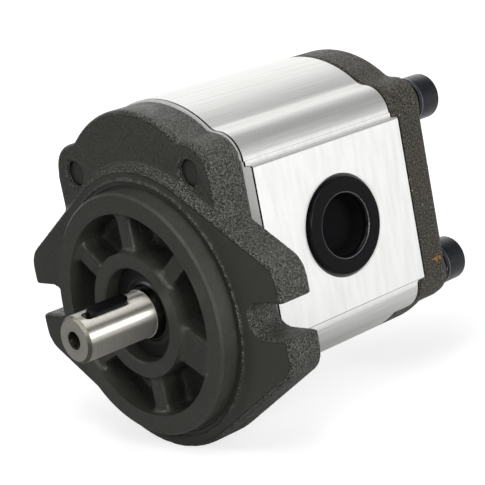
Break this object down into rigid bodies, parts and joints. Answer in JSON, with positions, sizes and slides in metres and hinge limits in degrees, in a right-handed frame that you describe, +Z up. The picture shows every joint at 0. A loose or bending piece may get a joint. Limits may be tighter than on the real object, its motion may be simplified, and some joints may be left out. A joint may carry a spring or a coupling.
{
  "type": "hydraulic gear pump",
  "caption": "External gear pump with a two-bolt slotted flange, ribbed pilot, keyed parallel shaft, side ports with plugs, and rear tie bolts.",
  "frame": {"origin": "where the drive shaft's axis meets the mounting face, which is the centre of the flange pilot's foot", "axes": "the drive shaft points to -Y, +Z is up with the driven gear above the drive gear, and +X is the suction side, to the right when the shaft is looked at end on"},
  "size_m": [0.128, 0.146, 0.1148],
  "materials": {
    "black_cast_iron": "matt black painted casting",
    "bare_aluminium": "satin extruded, milled port pads",
    "dark_cast_iron": "matt dark sand casting",
    "ground_steel": "ground",
    "black_oxide_steel": "black oxide",
    "block_aluminium": "machined",
    "bearing_bronze": "plain bearing surface",
    "seal_rubber": "matt",
    "seal_plastic": "moulded",
    "seal_case_steel": "phosphated",
    "spring_steel": "drawn wire",
    "plug_plastic": "glossy moulded"
  },
  "bodies": {
    "pump_body": {"front_cover": "black_cast_iron", "gear_housing": "bare_aluminium", "rear_cover": "dark_cast_iron", "front_bearing_block": "block_aluminium", "rear_bearing_block": "block_aluminium", "front_drive_liner": "bearing_bronze", "front_driven_liner": "bearing_bronze", "rear_drive_liner": "bearing_bronze", "rear_driven_liner": "bearing_bronze", "front_balance_seal": "seal_rubber", "rear_balance_seal": "seal_rubber", "front_backup_ring": "seal_plastic", "rear_backup_ring": "seal_plastic", "front_housing_seal": "seal_rubber", "rear_housing_seal": "seal_rubber", "shaft_seal_case": "seal_case_steel", "shaft_seal_lip": "seal_rubber", "seal_garter_spring": "spring_steel", "tie_bolts": "black_oxide_steel", "lock_washers": "black_oxide_steel", "dowel_pins": "ground_steel"},
    "drive_rotor": {"drive_gear_shaft": "ground_steel", "shaft_key": "black_oxide_steel"},
    "driven_rotor": {"driven_gear_shaft": "ground_steel"},
    "suction_plug": {"suction_port_plug": "plug_plastic"},
    "pressure_plug": {"pressure_port_plug": "plug_plastic"}
  },
  "joints": [
    {"name": "drive_spin", "type": "hinge", "parent": "pump_body", "child": "drive_rotor", "pos_m": [0, 0, 0], "axis": [0, -1, 0], "continuous": true},
    {"name": "driven_spin", "type": "hinge", "parent": "pump_body", "child": "driven_rotor", "pos_m": [0, 0.05115, 0.0315], "axis": [0, -1, 0], "continuous": true},
    {"name": "suction_plug_pull", "type": "slide", "parent": "pump_body", "child": "suction_plug", "axis": [1, 0, 0], "range_m": [0, 0.03]},
    {"name": "pressure_plug_pull", "type": "slide", "parent": "pump_body", "child": "pressure_plug", "axis": [-1, 0, 0], "range_m": [0, 0.03]}
  ],
  "couplings": [
    {"joint": "driven_spin", "follows": "drive_spin", "ratio": -1}
  ]
}
